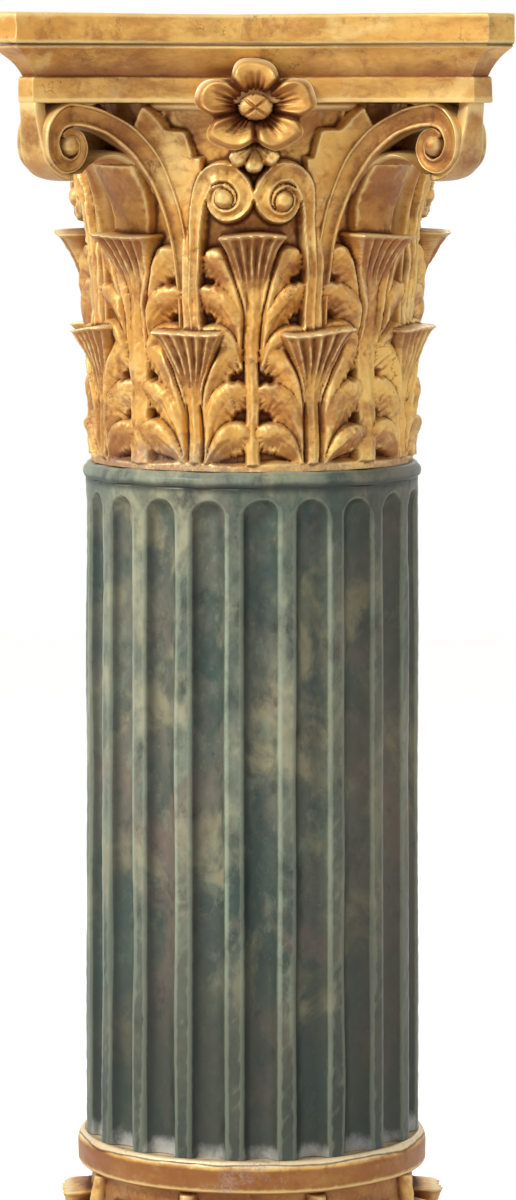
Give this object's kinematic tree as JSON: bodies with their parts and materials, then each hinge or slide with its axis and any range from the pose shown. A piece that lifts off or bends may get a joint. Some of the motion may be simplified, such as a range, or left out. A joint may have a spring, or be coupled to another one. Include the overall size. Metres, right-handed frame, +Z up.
{
  "type": "corinthian column pedestal",
  "caption": "Free-standing Corinthian column with gilt carved capital and base, painted fluted shaft, square plinth and flat top board.",
  "frame": {"origin": "centre of the plinth's underside, on the floor", "axes": "+Z up along the column's axis, -Y out of a face of the capital, +X to its right as that face is looked at"},
  "size_m": [0.42, 0.42, 1.2],
  "materials": {
    "gilt_board": "worn water gilding over red-brown bole, satin",
    "gilt_carving": "worn water gilding over red-brown bole, dark in the recesses, satin",
    "faux_marble": "mottled green and brown paint that imitates marble, satin",
    "gilt_base": "worn water gilding over red-brown bole, satin",
    "gilt_plinth": "worn water gilding over red-brown bole, satin"
  },
  "bodies": {
    "root": {"top_board": "gilt_board", "capital": "gilt_carving", "shaft": "faux_marble", "base": "gilt_base", "plinth": "gilt_plinth"}
  },
  "joints": []
}
